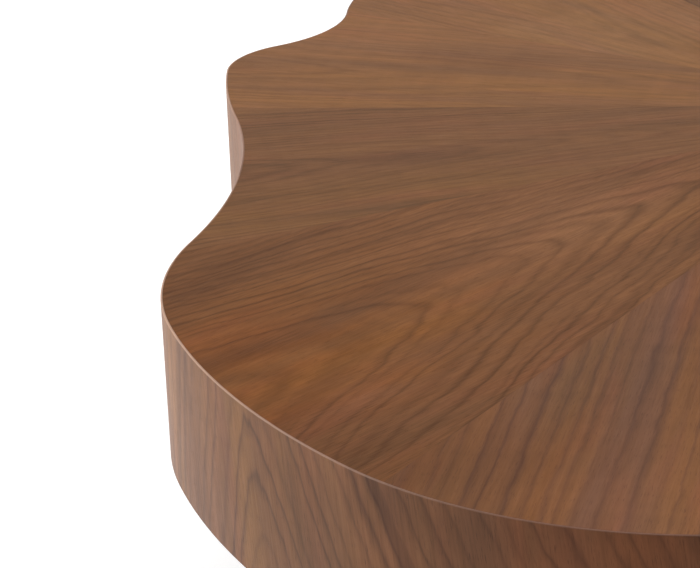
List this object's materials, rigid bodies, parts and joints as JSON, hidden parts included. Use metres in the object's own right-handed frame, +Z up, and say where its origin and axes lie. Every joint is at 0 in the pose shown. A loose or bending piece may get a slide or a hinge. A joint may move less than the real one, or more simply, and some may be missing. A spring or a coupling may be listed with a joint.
{
  "type": "coffee table",
  "caption": "Low table with a deep wavy-edged walnut-veneered top, its leaves matched in a sunburst, on four drum legs.",
  "frame": {"origin": "on the floor under the middle of the top, where its veneer leaves meet", "axes": "+Z up; +Y away from the picture's viewer, along the longer side; +X to the viewer's right"},
  "size_m": [1.0246, 1.2158, 0.36],
  "materials": {
    "top_veneer": "satin lacquered walnut veneer",
    "side_veneer": "satin lacquered walnut veneer, grain upright",
    "plywood": "raw bending plywood",
    "board": "raw fibreboard",
    "base_finish": "matt dark brown lacquer on fibreboard",
    "steel": "zinc plated",
    "felt": "dense felt"
  },
  "bodies": {
    "root": {"top_leaf_01": "top_veneer", "top_leaf_02": "top_veneer", "top_leaf_03": "top_veneer", "top_leaf_04": "top_veneer", "top_leaf_05": "top_veneer", "top_leaf_06": "top_veneer", "top_leaf_07": "top_veneer", "top_leaf_08": "top_veneer", "top_leaf_09": "top_veneer", "top_leaf_10": "top_veneer", "top_leaf_11": "top_veneer", "top_leaf_12": "top_veneer", "rim_core_1": "plywood", "rim_face_1": "side_veneer", "rim_core_2": "plywood", "rim_face_2": "side_veneer", "rim_core_3": "plywood", "rim_face_3": "side_veneer", "rim_core_4": "plywood", "rim_face_4": "side_veneer", "rim_core_5": "plywood", "rim_face_5": "side_veneer", "rim_core_6": "plywood", "rim_face_6": "side_veneer", "top_board": "board", "base_board": "base_finish", "hub": "board", "rib_1": "board", "rib_2": "board", "rib_3": "board", "rib_4": "board", "rib_5": "board", "rib_6": "board", "leg_shell_1": "plywood", "leg_face_1": "side_veneer", "leg_head_1": "board", "leg_sole_1": "base_finish", "leg_block_1": "board", "leg_shell_2": "plywood", "leg_face_2": "side_veneer", "leg_head_2": "board", "leg_sole_2": "base_finish", "leg_block_2": "board", "leg_shell_3": "plywood", "leg_face_3": "side_veneer", "leg_head_3": "board", "leg_sole_3": "base_finish", "leg_block_3": "board", "leg_shell_4": "plywood", "leg_face_4": "side_veneer", "leg_head_4": "board", "leg_sole_4": "base_finish", "leg_block_4": "board", "leg_studs": "steel", "block_inserts": "steel", "head_inserts": "steel", "foot_pads": "felt"}
  },
  "joints": []
}
